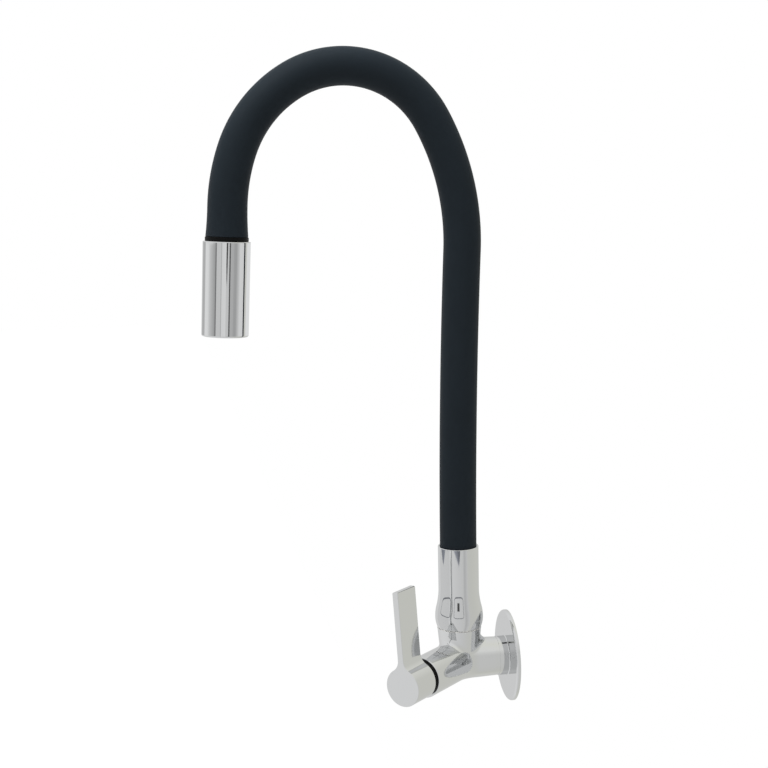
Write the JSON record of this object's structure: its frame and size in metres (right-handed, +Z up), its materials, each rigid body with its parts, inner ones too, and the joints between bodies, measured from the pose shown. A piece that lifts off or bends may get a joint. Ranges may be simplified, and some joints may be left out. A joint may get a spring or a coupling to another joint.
{
  "type": "wall-mounted flexible tap",
  "caption": "Wall-mounted cold-water tap with a side lever, a black flexible gooseneck spout and a chromed spray head.",
  "frame": {"origin": "on the wall's face, at the axis of the inlet thread", "axes": "+Y into the wall along the inlet thread, +Z up along the riser, +X to the right of someone who faces the tap"},
  "size_m": [0.0892, 0.2192, 0.445],
  "materials": {
    "chromed_brass": "mirror chrome on brass",
    "gasket_foam": "fine closed-cell foam",
    "seal_rubber": "smooth moulded rubber",
    "valve_ceramic": "lapped white ceramic",
    "bare_brass": "turned brass",
    "black_plastic": "satin black moulding",
    "bearing_nylon": "natural nylon",
    "insert_plastic": "white moulding",
    "aerator_chrome": "satin chrome",
    "steel_parts": "turned and pressed steel",
    "black_silicone": "matt silicone with a soft sheen",
    "gooseneck_steel": "wound steel",
    "water_hose_rubber": "smooth hose"
  },
  "bodies": {
    "tap_body": {"wall_flange": "chromed_brass", "flange_gasket": "gasket_foam", "valve_body": "chromed_brass", "seat_washer": "seal_rubber", "fixed_disc": "valve_ceramic", "headwork_housing": "bare_brass", "housing_seal": "seal_rubber", "gap_ring": "black_plastic", "slip_ring": "bearing_nylon"},
    "lever_group": {"lever": "chromed_brass", "grub_screw": "steel_parts", "spline_insert": "insert_plastic", "spindle": "bare_brass", "spindle_seals": "seal_rubber", "spindle_clip": "steel_parts", "thrust_washer": "bearing_nylon", "turning_disc": "valve_ceramic"},
    "spout_foot": {"spout_collar": "chromed_brass", "swivel_nipple": "bare_brass", "swivel_seals": "seal_rubber", "snap_ring": "steel_parts", "hose_anchor": "steel_parts", "foot_ferrule": "steel_parts", "sleeve_foot": "black_silicone", "core_foot": "gooseneck_steel", "water_hose_foot": "water_hose_rubber", "sleeve_base_bend": "black_silicone", "core_base_bend": "gooseneck_steel", "water_hose_base_bend": "water_hose_rubber"},
    "spout_riser": {"sleeve_riser": "black_silicone", "core_riser": "gooseneck_steel", "water_hose_riser": "water_hose_rubber", "sleeve_crown_bend": "black_silicone", "core_crown_bend": "gooseneck_steel", "water_hose_crown_bend": "water_hose_rubber"},
    "spout_drop": {"sleeve_drop": "black_silicone", "core_drop": "gooseneck_steel", "water_hose_drop": "water_hose_rubber", "sleeve_tip_bend": "black_silicone", "core_tip_bend": "gooseneck_steel", "water_hose_tip_bend": "water_hose_rubber"},
    "spout_head": {"sleeve_tip": "black_silicone", "core_tip": "gooseneck_steel", "water_hose_tip": "water_hose_rubber", "tip_anchor": "steel_parts", "tip_ferrule": "steel_parts", "end_ring": "black_plastic", "head_connector": "bare_brass", "connector_seal": "seal_rubber", "head_shell": "chromed_brass", "aerator_seal": "seal_rubber", "aerator_housing": "aerator_chrome", "aerator_screen": "steel_parts", "flow_straightener": "insert_plastic"}
  },
  "joints": [
    {"name": "lever_turn", "type": "hinge", "parent": "tap_body", "child": "lever_group", "pos_m": [0, -0.0356, 0], "axis": [0.7071, -0.7071, 0], "range_deg": [0, 90]},
    {"name": "spout_swivel", "type": "hinge", "parent": "tap_body", "child": "spout_foot", "pos_m": [0, -0.0356, 0.03], "axis": [0, 0, 1], "range_deg": [-90, 90]},
    {"name": "base_bend", "type": "hinge", "parent": "spout_foot", "child": "spout_riser", "pos_m": [0, -0.0347, 0.14999], "axis": [1, 0, 0], "range_deg": [-5, 40], "deforming": ["sleeve_base_bend", "core_base_bend", "water_hose_base_bend"]},
    {"name": "crown_bend", "type": "hinge", "parent": "spout_riser", "child": "spout_drop", "pos_m": [0, -0.10645, 0.40144], "axis": [1, 0, 0], "range_deg": [-35, 20], "deforming": ["sleeve_crown_bend", "core_crown_bend", "water_hose_crown_bend"]},
    {"name": "tip_bend", "type": "hinge", "parent": "spout_drop", "child": "spout_head", "pos_m": [0, -0.17817, 0.3459], "axis": [1, 0, 0], "range_deg": [-45, 20], "deforming": ["sleeve_tip_bend", "core_tip_bend", "water_hose_tip_bend"]}
  ]
}
